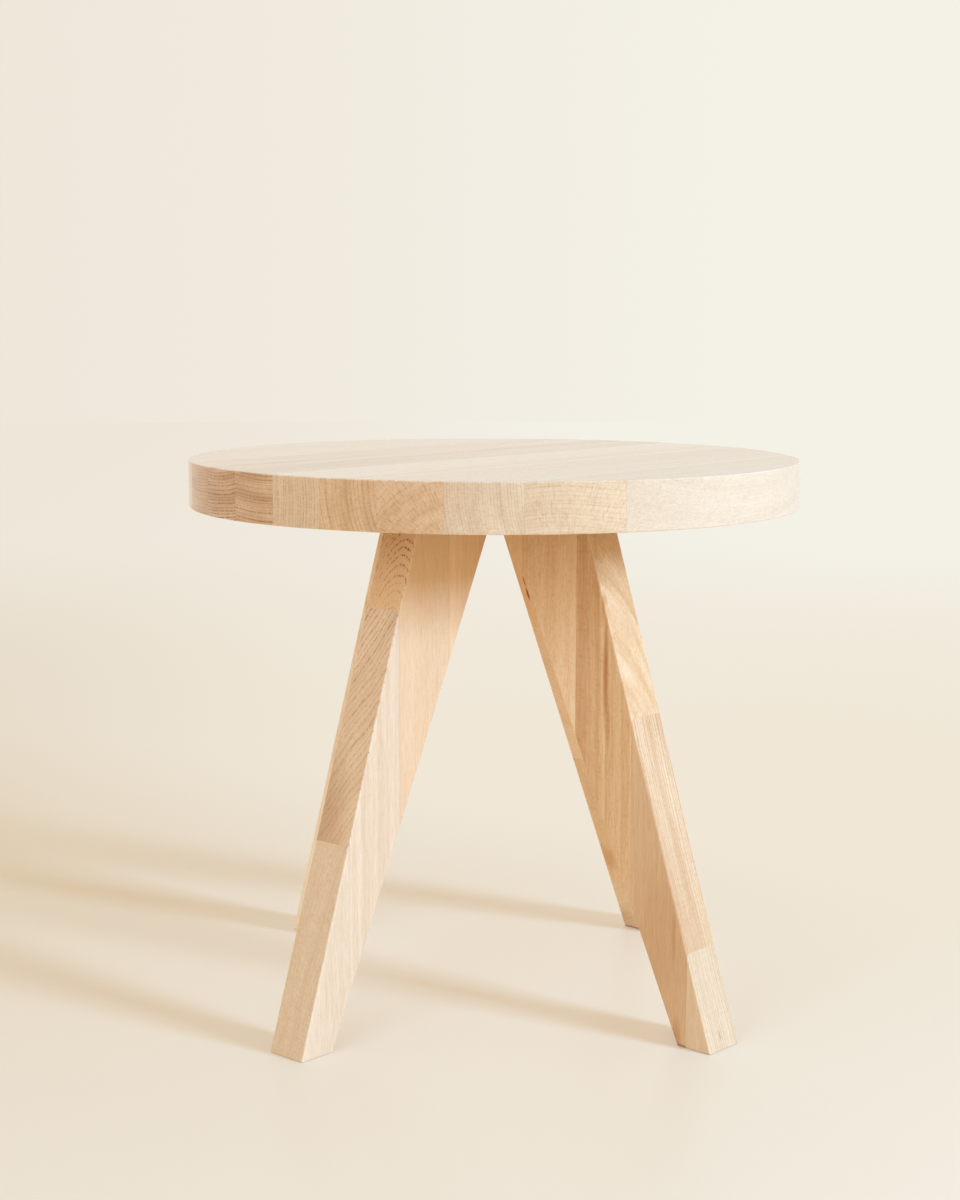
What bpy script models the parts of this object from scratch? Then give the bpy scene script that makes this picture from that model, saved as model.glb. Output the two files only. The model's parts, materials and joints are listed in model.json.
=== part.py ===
"""Plant table: a round edge-glued beech top on four splayed wedge-shaped plank legs.

Units are metres and radians, +Z is up. The origin is on the floor, straight below the
middle of the top, and the front of the table faces -Y. Every glued stave is a piece of
its own, and so is every dowel that holds a leg to the top.
"""

import math

import bmesh
import bpy
from mathutils import Matrix

# The table as a whole
TABLE_HEIGHT = 0.450

# The round top, sawn from a board of long staves that run from front left to rear right
TOP_DIAMETER = 0.500
TOP_THICKNESS = 0.038
TOP_STAVE_ANGLE = math.radians(47.0)
TOP_BOARD_TRIM = 0.020  # the board is glued up this much wider than the disc on each side
TOP_BOARD_SHIFT = -0.0042  # how far the board's middle lies beside the disc's
TOP_EDGE_EASE = 0.0012
RIM_SEGMENTS = 240

# A leg is a wedge sawn from an edge-glued plank whose staves stand upright.
# Radii are measured along the leg's own plane, outwards from the middle of the table.
LEG_THICKNESS = 0.037
LEG_HEAD_INNER_RADIUS = 0.020
LEG_HEAD_WIDTH = 0.089
LEG_FOOT_INNER_RADIUS = 0.208
LEG_FOOT_WIDTH = 0.033
LEG_STAVE_WIDTH_SHARE = 0.258  # of the leg's whole reach, from its head to its foot
LEG_EDGE_ROUND = 0.003
LEG_FOOT_EASE = 0.001
LEG_SIDE_SHIFT = 0.002  # the legs' planes pass this far beside the middle, pinwheel fashion
EDGE_SEGMENTS = 3

# Each leg's direction round the table, the width of its innermost stave as a share of a full
# one, and the tone of each stave from the innermost outwards. The rear left leg was set a
# little off square.
LEGS = {
    "front_left": {
        "angle": math.radians(225.0),
        "inner_stave_share": 0.98,
        "tones": ("straw", "straw", "cream", "blush"),
    },
    "front_right": {
        "angle": math.radians(315.0),
        "inner_stave_share": 0.45,
        "tones": ("straw", "straw", "tan", "blush", "straw"),
    },
    "rear_right": {
        "angle": math.radians(45.0),
        "inner_stave_share": 0.91,
        "tones": ("straw", "cream", "straw", "blush"),
    },
    "rear_left": {
        "angle": math.radians(132.0),
        "inner_stave_share": 1.05,
        "tones": ("tan", "straw", "blush", "cream"),
    },
}

# Fluteless beech dowels, two in the head of each leg
DOWEL_DIAMETER = 0.012
DOWEL_DEPTH_IN_LEG = 0.030
DOWEL_DEPTH_IN_TOP = 0.020
DOWEL_END_CHAMFER = 0.001
DOWEL_INNER_PLACE_SHARE = 0.42  # along the width of the leg's head
DOWEL_OUTER_PLACE_SHARE = 0.84
DOWEL_SEGMENTS = 32

# Room between pieces
GLUE_LINE = 0.0003
HEAD_JOINT = 0.0003
DOWEL_SIDE_ROOM = 0.0003
DOWEL_END_ROOM = 0.001
CUT_OVERRUN = 0.010

# Beech as it shows in daylight, from the palest stave to the brownest
BEECH_TONES = {
    "cream": (0.84, 0.68, 0.50),
    "blush": (0.80, 0.60, 0.44),
    "straw": (0.76, 0.57, 0.37),
    "tan": (0.66, 0.45, 0.28),
    "brown": (0.56, 0.36, 0.22),
}

# One tone for each stave of the top, from rear left to front right
TOP_TONES = (
    *("straw", "blush", "straw", "tan", "brown", "brown"),
    *("cream", "tan", "straw", "blush", "straw", "cream"),
)
BEECH_ROUGHNESS = 0.55

# Worked out from the values above
TOP_RADIUS = TOP_DIAMETER / 2
TOP_BOARD_WIDTH = TOP_DIAMETER + 2 * TOP_BOARD_TRIM
TOP_STAVE_WIDTH = TOP_BOARD_WIDTH / len(TOP_TONES)
UNDERSIDE = TABLE_HEIGHT - TOP_THICKNESS
LEG_HEIGHT = UNDERSIDE - HEAD_JOINT
LEG_HEAD_OUTER_RADIUS = LEG_HEAD_INNER_RADIUS + LEG_HEAD_WIDTH
LEG_FOOT_OUTER_RADIUS = LEG_FOOT_INNER_RADIUS + LEG_FOOT_WIDTH
LEG_REACH = LEG_FOOT_OUTER_RADIUS - LEG_HEAD_INNER_RADIUS
LEG_STAVE_WIDTH = LEG_STAVE_WIDTH_SHARE * LEG_REACH
DOWEL_RADII = {
    "inner": LEG_HEAD_INNER_RADIUS + DOWEL_INNER_PLACE_SHARE * LEG_HEAD_WIDTH,
    "outer": LEG_HEAD_INNER_RADIUS + DOWEL_OUTER_PLACE_SHARE * LEG_HEAD_WIDTH,
}


def clear_scene():
    for thing in list(bpy.data.objects):
        bpy.data.objects.remove(thing)


def new_collection(name):
    collection = bpy.data.collections.new(name)
    bpy.context.scene.collection.children.link(collection)
    return collection


def beech(tone):
    """The material of one tone of beech, made once."""
    name = "beech_" + tone
    if name in bpy.data.materials:
        return bpy.data.materials[name]
    material = bpy.data.materials.new(name)
    material.use_nodes = True
    shader = material.node_tree.nodes["Principled BSDF"]
    shader.inputs["Base Color"].default_value = (*BEECH_TONES[tone], 1)
    shader.inputs["Roughness"].default_value = BEECH_ROUGHNESS
    shader.inputs["Metallic"].default_value = 0
    return material


def box_mesh(name, low, high):
    """A box between two corners."""
    mesh = bpy.data.meshes.new(name)
    shape = bmesh.new()
    bmesh.ops.create_cube(shape, size=1)
    for vert in shape.verts:
        for axis in range(3):
            vert.co[axis] = high[axis] if vert.co[axis] > 0 else low[axis]
    shape.to_mesh(mesh)
    shape.free()
    return mesh


def round_mesh(name, diameter, bottom, top, segments):
    """A capped cylinder on the Z axis."""
    mesh = bpy.data.meshes.new(name)
    shape = bmesh.new()
    middle = Matrix.Translation((0, 0, (bottom + top) / 2))
    bmesh.ops.create_cone(
        shape,
        cap_ends=True,
        segments=segments,
        radius1=diameter / 2,
        radius2=diameter / 2,
        depth=top - bottom,
        matrix=middle,
    )
    shape.to_mesh(mesh)
    shape.free()
    return mesh


def place(name, mesh, collection, parent=None, location=(0, 0, 0), turn=0):
    """A new object of this mesh, in its parent's frame."""
    thing = bpy.data.objects.new(name, mesh)
    thing.location = location
    thing.rotation_euler.z = turn
    thing.parent = parent
    collection.objects.link(thing)
    return thing


def empty(name, collection, turn):
    """A frame to build in, turned about the table's middle."""
    return place(name, None, collection, turn=turn)


def cutter(name, mesh, parent, location=(0, 0, 0)):
    """A shape that cuts others and isn't part of the table."""
    tool = place(name, mesh, bpy.data.collections["cutters"], parent, location)
    tool.hide_render = True
    tool.display_type = "WIRE"
    return tool


def cut(thing, tool, operation):
    boolean = thing.modifiers.new(f"{operation.lower()} {tool.name}", "BOOLEAN")
    boolean.operation = operation
    boolean.solver = "EXACT"
    boolean.object = tool


def smooth_round_faces(mesh):
    """Facets of a round piece shade as one curve, and its crisp edges stay crisp."""
    mesh.shade_smooth()
    mesh.set_sharp_from_angle(angle=math.radians(30))


def stave_spans(staves, first_seam, width, low, high):
    """(low, high) of each stave, a glue line apart, the outer two running past both ends."""
    seams = [first_seam + count * width for count in range(staves - 1)]
    starts = [low - CUT_OVERRUN] + [seam + GLUE_LINE / 2 for seam in seams]
    ends = [seam - GLUE_LINE / 2 for seam in seams] + [high + CUT_OVERRUN]
    return list(zip(starts, ends))


def make_drills(frames):
    """One hole cutter for each dowel, through the joint between a leg and the top."""
    drills = {}
    diameter = DOWEL_DIAMETER + 2 * DOWEL_SIDE_ROOM
    bottom = UNDERSIDE - DOWEL_DEPTH_IN_LEG - DOWEL_END_ROOM
    top = UNDERSIDE + DOWEL_DEPTH_IN_TOP + DOWEL_END_ROOM
    mesh = round_mesh("dowel_hole", diameter, bottom, top, DOWEL_SEGMENTS)
    for leg, frame in frames.items():
        for place_name, radius in DOWEL_RADII.items():
            drills[leg, place_name] = cutter(
                f"drill_{leg}_{place_name}", mesh, frame, (radius, LEG_SIDE_SHIFT, 0)
            )
    return drills


def make_dowels(frames, table):
    """Glued dowels with chamfered ends, lying in the holes that the drills leave."""
    bottom = UNDERSIDE - DOWEL_DEPTH_IN_LEG
    top = UNDERSIDE + DOWEL_DEPTH_IN_TOP
    for leg, frame in frames.items():
        for place_name, radius in DOWEL_RADII.items():
            name = f"{leg}_{place_name}_dowel"
            mesh = round_mesh(name, DOWEL_DIAMETER, bottom, top, DOWEL_SEGMENTS)
            smooth_round_faces(mesh)
            mesh.materials.append(beech("straw"))
            dowel = place(name, mesh, table, frame, (radius, LEG_SIDE_SHIFT, 0))
            chamfer = dowel.modifiers.new("end chamfer", "BEVEL")
            chamfer.width = DOWEL_END_CHAMFER
            chamfer.segments = 1
            chamfer.limit_method = "ANGLE"
            chamfer.angle_limit = math.radians(60)


def make_top(frames, drills, table):
    """The staves of the round top, sawn to one disc with a slightly eased rim."""
    frame = empty("top", table, TOP_STAVE_ANGLE - math.pi / 2)
    first_seam = TOP_BOARD_SHIFT - TOP_BOARD_WIDTH / 2 + TOP_STAVE_WIDTH
    spans = stave_spans(len(TOP_TONES), first_seam, TOP_STAVE_WIDTH, -TOP_RADIUS, TOP_RADIUS)
    reach = TOP_RADIUS + CUT_OVERRUN
    for count, (tone, (low, high)) in enumerate(zip(TOP_TONES, spans), 1):
        name = f"top_stave_{count:02d}"
        disc = round_mesh(name, TOP_DIAMETER, UNDERSIDE, TABLE_HEIGHT, RIM_SEGMENTS)
        smooth_round_faces(disc)
        disc.materials.append(beech(tone))
        stave = place(name, disc, table, frame)
        ease = stave.modifiers.new("eased rim", "BEVEL")
        ease.width = TOP_EDGE_EASE
        ease.segments = 2
        ease.limit_method = "ANGLE"
        ease.angle_limit = math.radians(60)
        slab = box_mesh(
            f"saw_{name}",
            (low, -reach, UNDERSIDE - CUT_OVERRUN),
            (high, reach, TABLE_HEIGHT + CUT_OVERRUN),
        )
        cut(stave, cutter(slab.name, slab, frame), "INTERSECT")
        for (leg, place_name), drill in drills.items():
            if drill_meets(drill, frames[leg], frame, low, high):
                cut(stave, drill, "DIFFERENCE")


def drill_meets(drill, leg_frame, top_frame, low, high):
    """Whether a drill reaches into the stave between these two places across the top."""
    leg_turn = Matrix.Rotation(leg_frame.rotation_euler.z, 4, "Z")
    top_turn = Matrix.Rotation(top_frame.rotation_euler.z, 4, "Z")
    across = (top_turn.inverted() @ leg_turn @ drill.location).x
    reach = DOWEL_DIAMETER / 2 + DOWEL_SIDE_ROOM
    return low - reach < across < high + reach


def leg_blank(name):
    """The whole wedge before it is parted into staves, its X axis pointing outwards."""
    half = LEG_THICKNESS / 2
    mesh = box_mesh(
        name,
        (LEG_HEAD_INNER_RADIUS, LEG_SIDE_SHIFT - half, 0),
        (LEG_HEAD_OUTER_RADIUS, LEG_SIDE_SHIFT + half, LEG_HEIGHT),
    )
    shape = bmesh.new()
    shape.from_mesh(mesh)
    middle = (LEG_HEAD_INNER_RADIUS + LEG_HEAD_OUTER_RADIUS) / 2
    foot = [vert for vert in shape.verts if vert.co.z < LEG_HEIGHT / 2]
    for vert in foot:
        vert.co.x = LEG_FOOT_OUTER_RADIUS if vert.co.x > middle else LEG_FOOT_INNER_RADIUS
    weights = shape.edges.layers.float.new("bevel_weight_edge")
    for edge in shape.edges:
        ends = [vert in foot for vert in edge.verts]
        if ends[0] != ends[1]:
            edge[weights] = 1
        elif ends[0]:
            edge[weights] = LEG_FOOT_EASE / LEG_EDGE_ROUND
    shape.to_mesh(mesh)
    shape.free()
    return mesh


def make_leg(leg, frame, drills, table):
    """One leg, parted into upright staves and drilled for its dowels."""
    tones = LEGS[leg]["tones"]
    first_seam = LEG_HEAD_INNER_RADIUS + LEGS[leg]["inner_stave_share"] * LEG_STAVE_WIDTH
    ends = LEG_HEAD_INNER_RADIUS, LEG_FOOT_OUTER_RADIUS
    spans = stave_spans(len(tones), first_seam, LEG_STAVE_WIDTH, *ends)
    half = LEG_THICKNESS / 2 + CUT_OVERRUN
    for count, (tone, (low, high)) in enumerate(zip(tones, spans), 1):
        name = f"{leg}_leg_stave_{count}"
        blank = leg_blank(name)
        blank.materials.append(beech(tone))
        stave = place(name, blank, table, frame)
        rounding = stave.modifiers.new("rounded edges", "BEVEL")
        rounding.width = LEG_EDGE_ROUND
        rounding.segments = EDGE_SEGMENTS
        rounding.limit_method = "WEIGHT"
        slab = box_mesh(
            f"saw_{name}",
            (low, LEG_SIDE_SHIFT - half, -CUT_OVERRUN),
            (high, LEG_SIDE_SHIFT + half, LEG_HEIGHT + CUT_OVERRUN),
        )
        cut(stave, cutter(slab.name, slab, frame), "INTERSECT")
        reach = DOWEL_DIAMETER / 2 + DOWEL_SIDE_ROOM
        for place_name in DOWEL_RADII:
            drill = drills[leg, place_name]
            if low - reach < drill.location.x < high + reach:
                cut(stave, drill, "DIFFERENCE")


def main():
    clear_scene()
    table = new_collection("plant_table")
    new_collection("cutters")
    frames = {leg: empty(f"{leg}_leg", table, facts["angle"]) for leg, facts in LEGS.items()}
    drills = make_drills(frames)
    make_top(frames, drills, table)
    for leg, frame in frames.items():
        make_leg(leg, frame, drills, table)
    make_dowels(frames, table)


main()
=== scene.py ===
"""Plant table: the finish of every beech stave, and the studio that it stands in.

Metres and radians, +Z up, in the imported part's own frame. Each glued stave of the round
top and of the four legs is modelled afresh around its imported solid, with eased edges, its
dowel holes and beech grain that runs through the wood: growth rings round a pith of the
stave's own, rays, pores and fibres, so that end grain and long grain agree at every edge.
"""

import json
import math
from typing import NamedTuple

import bmesh
import bpy
from mathutils import Euler, Matrix, Vector

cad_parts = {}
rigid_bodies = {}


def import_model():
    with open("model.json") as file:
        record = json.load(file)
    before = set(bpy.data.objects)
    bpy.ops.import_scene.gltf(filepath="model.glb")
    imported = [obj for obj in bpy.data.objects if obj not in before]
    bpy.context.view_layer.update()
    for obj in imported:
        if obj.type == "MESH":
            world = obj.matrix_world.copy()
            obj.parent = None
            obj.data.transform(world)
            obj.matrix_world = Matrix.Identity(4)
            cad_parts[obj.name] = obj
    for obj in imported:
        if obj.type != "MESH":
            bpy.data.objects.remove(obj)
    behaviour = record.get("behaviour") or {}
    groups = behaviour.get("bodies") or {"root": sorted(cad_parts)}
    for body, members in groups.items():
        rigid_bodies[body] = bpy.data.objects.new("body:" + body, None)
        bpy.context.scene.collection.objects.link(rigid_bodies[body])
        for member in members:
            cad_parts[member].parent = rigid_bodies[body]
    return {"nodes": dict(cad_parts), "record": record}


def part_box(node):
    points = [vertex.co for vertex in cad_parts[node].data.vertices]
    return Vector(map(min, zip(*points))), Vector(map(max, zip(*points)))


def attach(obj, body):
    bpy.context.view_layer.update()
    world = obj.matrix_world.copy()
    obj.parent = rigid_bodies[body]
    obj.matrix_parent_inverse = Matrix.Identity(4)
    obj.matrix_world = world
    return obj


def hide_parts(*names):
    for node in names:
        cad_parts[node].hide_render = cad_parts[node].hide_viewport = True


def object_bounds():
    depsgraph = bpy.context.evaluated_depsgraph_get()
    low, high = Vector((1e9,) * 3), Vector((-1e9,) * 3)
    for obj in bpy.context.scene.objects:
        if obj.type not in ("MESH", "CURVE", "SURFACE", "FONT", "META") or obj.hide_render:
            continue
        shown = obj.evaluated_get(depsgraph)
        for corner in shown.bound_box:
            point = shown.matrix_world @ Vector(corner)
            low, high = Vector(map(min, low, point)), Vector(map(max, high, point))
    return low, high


bl_info = {
    "name": "Plant Table",
    "version": (1, 0, 0),
    "blender": (4, 5, 0),
    "location": "View3D > Sidebar > Plant Table",
    "description": "Builds a round edge-glued beech table on four wedge-shaped legs",
    "category": "Object",
}

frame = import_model()
cad_low, cad_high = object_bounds()

MM = 0.001
UP = Vector((0, 0, 1))

# The tone that the record gives each node, such as beech_straw
SLOTS = {part["node"]: part["material_slot"] for part in frame["record"]["subparts"]}

# A Mix node's two inputs and its output when it mixes colours
MIX_A, MIX_B, MIX_RESULT = 6, 7, 2
# Two opposite corners of an object's bound_box
LOWEST_CORNER, HIGHEST_CORNER = 0, 6


def linear(code):
    """An sRGB hex colour as linear red, green, blue and alpha."""
    shares = [int(code[place : place + 2], 16) / 255 for place in (1, 3, 5)]
    return (*((s / 12.92 if s <= 0.04045 else ((s + 0.055) / 1.055) ** 2.4) for s in shares), 1.0)


def colour(name, code, description):
    return bpy.props.FloatVectorProperty(
        name=name,
        description=description,
        subtype="COLOR",
        size=4,
        min=0,
        max=1,
        default=linear(code),
    )


def length(name, default, description):
    return bpy.props.FloatProperty(
        name=name,
        description=description,
        default=default,
        min=0,
        unit="LENGTH",
        subtype="DISTANCE",
    )


class PLANTTABLE_PG_top(bpy.types.PropertyGroup):
    """The round top, sawn from a board of twelve long staves."""

    angle: bpy.props.FloatProperty(
        name="Stave direction",
        description="Compass direction in which the staves run, from the X axis",
        default=math.radians(47),
        subtype="ANGLE",
    )
    edge_ease: length("Rim ease", 1.2 * MM, "How far the rim's two edges are sanded off")
    rim_steps: bpy.props.IntProperty(
        name="Rim steps", description="Facets round the rim", default=1440, min=48
    )


class PLANTTABLE_PG_legs(bpy.types.PropertyGroup):
    """A leg is a wedge sawn from a plank of upright staves."""

    thickness: length("Thickness", 37 * MM, "Thickness of the plank")
    head_inner: length("Head inner radius", 20 * MM, "From the middle to the head's inner edge")
    head_width: length("Head width", 89 * MM, "Width of the leg under the top")
    foot_inner: length("Foot inner radius", 208 * MM, "From the middle to the foot's inner edge")
    foot_width: length("Foot width", 33 * MM, "Width of the leg on the floor")
    side_shift: length("Side shift", 2 * MM, "How far each leg's plane passes beside the middle")
    edge_round: length("Edge radius", 2 * MM, "Radius of the leg's four long edges")
    foot_ease: length("Foot ease", 1 * MM, "How far the foot's edges are sanded off")


class PLANTTABLE_PG_dowels(bpy.types.PropertyGroup):
    """Fluted beech dowels in the heads of the legs."""

    side_room: length("Side room", 0.3 * MM, "Room for glue round a dowel")
    end_room: length("End room", 1 * MM, "Room for glue at each end of a dowel")
    chamfer: length("End chamfer", 1 * MM, "Chamfer at each end of a dowel")
    flute_depth: length("Flute depth", 0.35 * MM, "Depth of the glue flutes")


class PLANTTABLE_PG_beech(bpy.types.PropertyGroup):
    """Steamed and unsteamed beech, sanded and left bare."""

    cream: colour("Cream", "#DECBBA", "Palest staves")
    blush: colour("Blush", "#DCC5AF", "Pale, slightly pink staves")
    straw: colour("Straw", "#DFC5AB", "Common golden staves")
    tan: colour("Tan", "#D7B695", "Staves from nearer the heart")
    brown: colour("Brown", "#CCA988", "Brownest staves")


class PLANTTABLE_PG_studio(bpy.types.PropertyGroup):
    """Camera, lamps, floor and background."""

    lens: bpy.props.FloatProperty(
        name="Lens", description="Focal length for a 36 mm frame", default=62.33, unit="CAMERA"
    )
    floor: colour("Floor", "#EDE9E2", "Warm white board that the table stands on")
    bounce: colour("Bounced light", "#ECD09F", "The floor's colour in the light it throws up")
    wall: colour("Wall", "#F4F1E7", "Background, and to the right, where the key lamp is")
    wall_left: colour("Wall, left", "#EEE6D9", "Background to the left")
    sweep: colour("Sweep", "#F0E7D7", "The floor some way behind the table")
    sweep_left: colour("Sweep, left", "#E5D9C6", "The same to the left, where shadow reaches")


class PlantTableLooks(bpy.types.PropertyGroup):
    """Everything that a user would change about the table's looks."""

    top: bpy.props.PointerProperty(type=PLANTTABLE_PG_top)
    legs: bpy.props.PointerProperty(type=PLANTTABLE_PG_legs)
    dowels: bpy.props.PointerProperty(type=PLANTTABLE_PG_dowels)
    beech: bpy.props.PointerProperty(type=PLANTTABLE_PG_beech)
    studio: bpy.props.PointerProperty(type=PLANTTABLE_PG_studio)


class Stave(NamedTuple):
    """How one stave was sawn from its log, and how its wood shows"""

    depth: float  # depth of its colour, beside its tone's
    pith_way: float  # direction from its middle to the pith, in degrees
    pith_far: float  # distance from its middle to the pith, in millimetres
    ring: float  # width of a year's ring, in millimetres
    dark: float  # darkness of the line that ends each year
    wander: float  # how much the rings wander
    broken: float  # how broken their lines are
    heart: float  # how brown its bands are
    speckle: float  # how many rays and pores show
    warmth: float = 1.0  # above 1 it is more orange than its tone, and below 1 greyer
    thirst: float = 0.45  # how much deeper it is where its fibres are cut across


# Across the top from rear left to front right. The pith lies to the front right of the
# stave at 0 degrees, and above it at 90.
TOP_STAVES = {
    "top_stave_01": Stave(0.6, 60, 90, 2.5, 0.4, 1.0, 0.4, 0.5, 0.5, warmth=0.85),
    "top_stave_02": Stave(0.6, 100, 120, 3.0, 0.4, 1.0, 0.4, 0.5, 0.5, warmth=0.85),
    "top_stave_03": Stave(0.65, 200, 100, 2.2, 0.4, 1.0, 0.4, 0.5, 0.5, warmth=0.85),
    "top_stave_04": Stave(0.6, 90, 200, 2.4, 0.9, 0.6, 0.7, 0.5, 0.5, warmth=0.9, thirst=0.95),
    "top_stave_05": Stave(0.7, 97, 160, 2.6, 1.8, 1.2, 0.8, 0.7, 0.5, warmth=0.95, thirst=0.4),
    "top_stave_06": Stave(0.65, 88, 300, 2.6, 1.0, 0.4, 0.6, 0.6, 0.5, warmth=0.9, thirst=0.3),
    "top_stave_07": Stave(0.7, 180, 150, 2.4, 1.2, 0.5, 0.9, 0.3, 0.6, warmth=0.95),
    "top_stave_08": Stave(0.6, 10, 120, 3.6, 0.5, 0.6, 0.6, 0.5, 0.5, warmth=0.85),
    "top_stave_09": Stave(0.95, -50, 55, 4.5, 0.4, 0.8, 1.0, 0.4, 1.6, warmth=0.9),
    "top_stave_10": Stave(0.85, 5, 160, 1.8, 0.5, 0.5, 0.6, 0.4, 0.6, warmth=0.8),
    "top_stave_11": Stave(0.95, -95, 70, 3.0, 0.4, 0.8, 0.9, 0.25, 0.9, warmth=0.75),
    "top_stave_12": Stave(1.05, 60, 120, 2.5, 0.2, 0.8, 0.9, 0.15, 0.6, warmth=0.7),
}

# Each leg's compass direction, and its staves from the innermost outwards. The pith lies
# outwards of the stave at 0 degrees, and to its left, seen from above, at 90.
LEG_ANGLES = {
    "front_left": math.radians(225),
    "front_right": math.radians(315),
    "rear_right": math.radians(45),
    "rear_left": math.radians(132),
}
LEG_STAVES = {
    "front_left": (
        Stave(1.05, 20, 120, 2.0, 0.3, 1.0, 0.4, 0.2, 0.2, warmth=1.05),
        Stave(1.1, 15, 49, 2.0, 7.0, 1.6, 1.15, 0.1, 0.2, warmth=0.95),
        Stave(1.05, 27, 480, 2.5, 1.6, 2.8, 0.9, 0.35, 0.2, warmth=0.9),
        Stave(0.9, 80, 150, 2.2, 0.3, 0.8, 0.4, 0.15, 0.3, warmth=0.75, thirst=0.0),
    ),
    "front_right": (
        Stave(0.9, 100, 100, 2.2, 0.5, 1.0, 0.4, 0.4, 0.7, warmth=1.2),
        Stave(0.6, 30, 120, 1.8, 0.5, 1.0, 0.4, 0.3, 0.8),
        Stave(0.95, -20, 80, 2.2, 0.3, 1.1, 0.8, 0.6, 0.4, warmth=0.9),
        Stave(1.25, 87, 150, 2.7, 1.0, 0.8, 0.3, 0.45, 0.3, warmth=0.95, thirst=0.0),
        Stave(1.0, 92, 150, 2.7, 0.7, 0.8, 0.3, 0.3, 0.1, warmth=0.7),
    ),
    "rear_right": (
        Stave(0.6, 70, 100, 2.4, 0.2, 1.0, 0.4, 0.3, 0.4, warmth=1.3),
        Stave(0.65, 15, 90, 2.0, 0.2, 1.2, 0.4, 0.3, 0.4, warmth=1.3),
        Stave(0.8, 95, 70, 2.6, 0.2, 1.2, 0.4, 0.3, 0.4),
        Stave(0.6, -10, 120, 1.8, 0.2, 1.0, 0.4, 0.3, 0.4, warmth=0.9),
    ),
    "rear_left": (
        Stave(1.0, 10, 100, 2.2, 0.7, 1.2, 0.4, 0.8, 0.6),
        Stave(0.85, 85, 80, 2.6, 0.7, 1.2, 0.4, 0.6, 0.6, warmth=0.85),
        Stave(0.7, -15, 110, 1.9, 0.5, 1.0, 0.4, 0.4, 0.4, warmth=0.8),
        Stave(0.5, 100, 90, 2.2, 0.3, 1.0, 0.4, 0.3, 0.4, warmth=0.75),
    ),
}
DOWEL_BEECH = Stave(1.0, 0, 60, 2.0, 0.5, 0.5, 0.4, 0.4, 0.5)
DOWEL_PLACES = ("inner", "outer")


class StainOrShade(NamedTuple):
    """A knot, a streak of mineral staining or a pale patch in a leg's stave; some entries are
    painted shade instead: shade under the top, or a contact shadow at a foot

    Its middle and its reach run outwards from the table's axis, to the left, and up.
    """

    strength: float  # how much deeper its colour is, or paler below 0
    middle: tuple
    reach: tuple


STAINS_AND_SHADE = {
    "front_right_leg_stave_3": (
        StainOrShade(0.9, (0.133, -0.017, 0.285), (0.004, 0.008, 0.05)),
        StainOrShade(0.5, (0.136, -0.017, 0.245), (0.003, 0.008, 0.03)),
        StainOrShade(0.7, (0.130, -0.017, 0.350), (0.003, 0.008, 0.03)),
        # Painted shade under the top, deeper and warmer near the head
        StainOrShade(0.2, (0.112, -0.017, 0.395), (0.02, 0.02, 0.12)),
        StainOrShade(0.15, (0.14, 0.01, 0.34), (0.04, 0.02, 0.06)),
    ),
    # Painted shade under the top, deeper and warmer near the head
    "front_left_leg_stave_2": (StainOrShade(0.25, (0.1, 0.0, 0.42), (0.06, 0.05, 0.12)),),
    "front_left_leg_stave_3": (StainOrShade(0.8, (0.187, -0.012, 0.165), (0.04, 0.03, 0.1)),),
    # Painted shade under the top, deeper and warmer near the head
    "front_right_leg_stave_2": (StainOrShade(0.45, (0.07, -0.017, 0.42), (0.08, 0.05, 0.17)),),
    "front_right_leg_stave_4": (
        StainOrShade(0.5, (0.204, -0.017, 0.082), (0.003, 0.006, 0.03)),
        StainOrShade(0.8, (0.207, -0.017, 0.0), (0.006, 0.006, 0.03)),
        # Painted contact shadow along the foot's bottom edge
        StainOrShade(1.6, (0.215, -0.017, 0.0), (0.02, 0.01, 0.003)),
        StainOrShade(0.25, (0.2, -0.017, 0.08), (0.05, 0.03, 0.1)),
        StainOrShade(-0.15, (0.18, 0.008, 0.2), (0.03, 0.02, 0.07)),
    ),
    "front_right_leg_stave_5": (StainOrShade(1.6, (0.237, 0.0, 0.01), (0.004, 0.0008, 0.006)),),
    "rear_right_leg_stave_1": (
        StainOrShade(4.0, (0.053, 0.0115, 0.340), (0.0045, 0.0022, 0.009)),
        StainOrShade(4.0, (0.058, 0.0122, 0.328), (0.005, 0.002, 0.01)),
    ),
    "rear_right_leg_stave_3": (StainOrShade(0.5, (0.174, 0.0145, 0.073), (0.014, 0.014, 0.02)),),
    "rear_right_leg_stave_4": (
        StainOrShade(0.4, (0.206, 0.0145, 0.01), (0.02, 0.02, 0.012)),
        # Painted contact shadow along the foot's bottom edge
        StainOrShade(2.2, (0.215, 0.0145, 0.0), (0.04, 0.03, 0.0025)),
    ),
}

# Room between finished pieces: a tight glue line, and a head that seats under the top
GLUE_LINE = 0.08 * MM
HEAD_JOINT = 0.03 * MM

# Faces that meet at less than this look like one round face
SMOOTH_ANGLE = math.radians(20)

# How many facets a rounded edge, a hole and a dowel have; and which of a dowel's edges are
# flutes
RIM_EASE_STEPS = 4
LEG_EDGE_STEPS = 6
FOOT_EASE_STEPS = 3
HOLE_STEPS = 48
DOWEL_STEPS = 96
FLUTE_EVERY = 4

# Each stave lies elsewhere in its log's noise: how far along it the next one is moved, and
# for the legs' staves the next leg too
TOP_SEED = 1.7
LEG_SEED = 3.1
LEG_STAVE_SEED = 1.3
DOWEL_SEED = 2.3

# Handling burnishes the top, and the legs a little
TOP_POLISH = 1.0
LEG_POLISH = 0.1
DOWEL_POLISH = 0.0


class Grain(NamedTuple):
    """A kind of mark in the wood, drawn as long grains of noise

    Its size runs away from the pith, round it, and along the trunk. It begins where the
    noise is at its start, and is full where the noise is at its end.
    """

    size: tuple
    start: float
    end: float
    detail: int = 1


# Brown bands, some years wide
BANDS = Grain((9 * MM, 60 * MM, 900 * MM), 0.3, 0.7, detail=2)
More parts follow.
